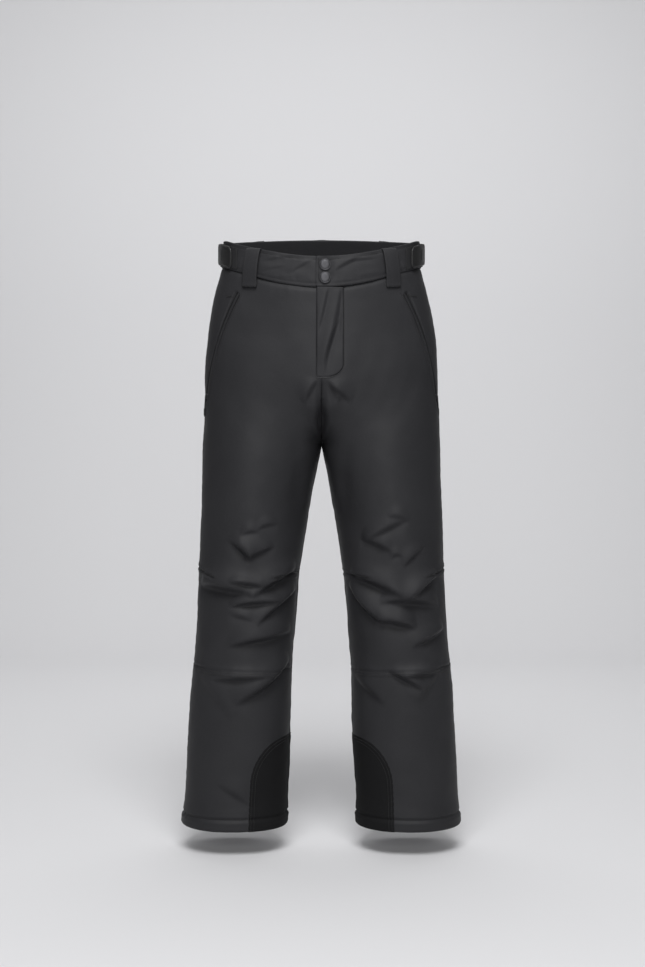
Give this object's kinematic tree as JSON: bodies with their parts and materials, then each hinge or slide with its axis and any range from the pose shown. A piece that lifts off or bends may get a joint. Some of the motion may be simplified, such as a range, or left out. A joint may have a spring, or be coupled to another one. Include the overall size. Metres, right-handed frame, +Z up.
{
  "type": "ski pants",
  "caption": "Insulated ski pants as worn, straight full-length legs, waistband with belt loops and side adjusters, snapped and zipped fly, slanted zip pockets, scuff guards, snow gaiters.",
  "frame": {"origin": "middle of the waist opening, level with the top of the waistband at the wearer's sides", "axes": "+X to the wearer's left, +Y to the wearer's back, +Z up along the body"},
  "size_m": [0.4838, 0.2557, 1.0396],
  "materials": {
    "shell": "satin",
    "lining": "satin",
    "fleece": "matte",
    "guard": "matte",
    "webbing": "matte",
    "tape": "matte",
    "plastic": "satin",
    "metal": "satin"
  },
  "bodies": {
    "hips": {"pocket_bag_left": "lining", "pocket_bag_right": "lining", "front_panel_left": "shell", "back_panel_left": "shell", "hip_lining_left": "lining", "front_panel_right": "shell", "back_panel_right": "shell", "hip_lining_right": "lining", "waistband": "shell", "waistband_facing": "fleece", "belt_loop_front_left": "shell", "belt_loop_front_right": "shell", "belt_loop_back_left": "shell", "belt_loop_back_right": "shell", "belt_loop_back_middle": "shell", "waistband_underlap": "fleece", "fly_underlap": "lining", "fly_zip_tape_left": "tape", "fly_zip_tape_right": "tape", "fly_zip_stop": "metal", "snap_stud_upper": "metal", "snap_stud_lower": "metal", "pocket_zip_tape_left": "tape", "pocket_zip_tape_right": "tape", "loop_patch_left": "webbing", "adjuster_casing_left": "shell", "loop_patch_right": "webbing", "adjuster_casing_right": "shell"},
    "fly": {"fly_flap": "shell", "waistband_tab": "shell", "snap_cap_upper": "metal", "snap_cap_lower": "metal", "snap_socket_upper": "metal", "snap_socket_lower": "metal"},
    "fly_slider": {"fly_zip_slider": "metal", "fly_zip_pull": "metal"},
    "pocket_slider_left": {"pocket_zip_slider_left": "metal"},
    "pocket_pull_left": {"pocket_zip_pull_left": "webbing"},
    "adjuster_strap_left": {"adjuster_strap_left": "webbing"},
    "adjuster_tab_left": {"adjuster_tab_left": "plastic", "hook_patch_left": "webbing"},
    "thigh_left": {"thigh_shell_left": "shell", "thigh_lining_left": "lining"},
    "shin_left": {"shin_shell_left": "shell", "shin_lining_left": "lining", "scuff_guard_left": "guard", "gaiter_left": "lining", "gaiter_elastic_left": "webbing"},
    "pocket_slider_right": {"pocket_zip_slider_right": "metal"},
    "pocket_pull_right": {"pocket_zip_pull_right": "webbing"},
    "adjuster_strap_right": {"adjuster_strap_right": "webbing"},
    "adjuster_tab_right": {"adjuster_tab_right": "plastic", "hook_patch_right": "webbing"},
    "thigh_right": {"thigh_shell_right": "shell", "thigh_lining_right": "lining"},
    "shin_right": {"shin_shell_right": "shell", "shin_lining_right": "lining", "scuff_guard_right": "guard", "gaiter_right": "lining", "gaiter_elastic_right": "webbing"}
  },
  "joints": [
    {"name": "fly_open", "type": "hinge", "parent": "hips", "child": "fly", "pos_m": [0.03622, -0.10306, -0.06608], "axis": [0, 0.0698, 0.9976], "range_deg": [0, 110]},
    {"name": "fly_zip", "type": "slide", "parent": "hips", "child": "fly_slider", "axis": [0, -0.0698, -0.9976], "range_m": [0, 0.126]},
    {"name": "pocket_zip_left", "type": "hinge", "parent": "hips", "child": "pocket_slider_left", "pos_m": [-0.19382, 0.18163, -0.24491], "axis": [-0.4563, -0.8152, -0.3567], "range_deg": [0, 23.1]},
    {"name": "pocket_pull_left", "type": "hinge", "parent": "pocket_slider_left", "child": "pocket_pull_left", "pos_m": [0.20156, -0.02943, -0.26828], "axis": [-0.4563, -0.8152, -0.3567], "range_deg": [0, 80]},
    {"name": "adjuster_left", "type": "hinge", "parent": "hips", "child": "adjuster_strap_left", "pos_m": [0.09587, 0, 0], "axis": [0, 0, 1], "range_deg": [-3, 18]},
    {"name": "adjuster_peel_left", "type": "hinge", "parent": "adjuster_strap_left", "child": "adjuster_tab_left", "pos_m": [0.1812, -0.00746, 0], "axis": [0, 0, 1], "range_deg": [0, 120]},
    {"name": "hip_left", "type": "hinge", "parent": "hips", "child": "thigh_left", "pos_m": [0.1, 0.002, -0.3], "axis": [1, 0, 0], "range_deg": [-50, 10]},
    {"name": "knee_left", "type": "hinge", "parent": "thigh_left", "child": "shin_left", "pos_m": [0.131, 0.003, -0.65], "axis": [1, 0, 0], "range_deg": [0, 85]},
    {"name": "pocket_zip_right", "type": "hinge", "parent": "hips", "child": "pocket_slider_right", "pos_m": [0.19382, 0.18163, -0.24491], "axis": [-0.4563, 0.8152, 0.3567], "range_deg": [0, 23.1]},
    {"name": "pocket_pull_right", "type": "hinge", "parent": "pocket_slider_right", "child": "pocket_pull_right", "pos_m": [-0.20156, -0.02943, -0.26828], "axis": [-0.4563, 0.8152, 0.3567], "range_deg": [0, 80]},
    {"name": "adjuster_right", "type": "hinge", "parent": "hips", "child": "adjuster_strap_right", "pos_m": [-0.09587, 0, 0], "axis": [0, 0, -1], "range_deg": [-3, 18]},
    {"name": "adjuster_peel_right", "type": "hinge", "parent": "adjuster_strap_right", "child": "adjuster_tab_right", "pos_m": [-0.1812, -0.00746, 0], "axis": [0, 0, -1], "range_deg": [0, 120]},
    {"name": "hip_right", "type": "hinge", "parent": "hips", "child": "thigh_right", "pos_m": [-0.1, 0.002, -0.3], "axis": [1, 0, 0], "range_deg": [-50, 10]},
    {"name": "knee_right", "type": "hinge", "parent": "thigh_right", "child": "shin_right", "pos_m": [-0.131, 0.003, -0.65], "axis": [1, 0, 0], "range_deg": [0, 85]}
  ]
}
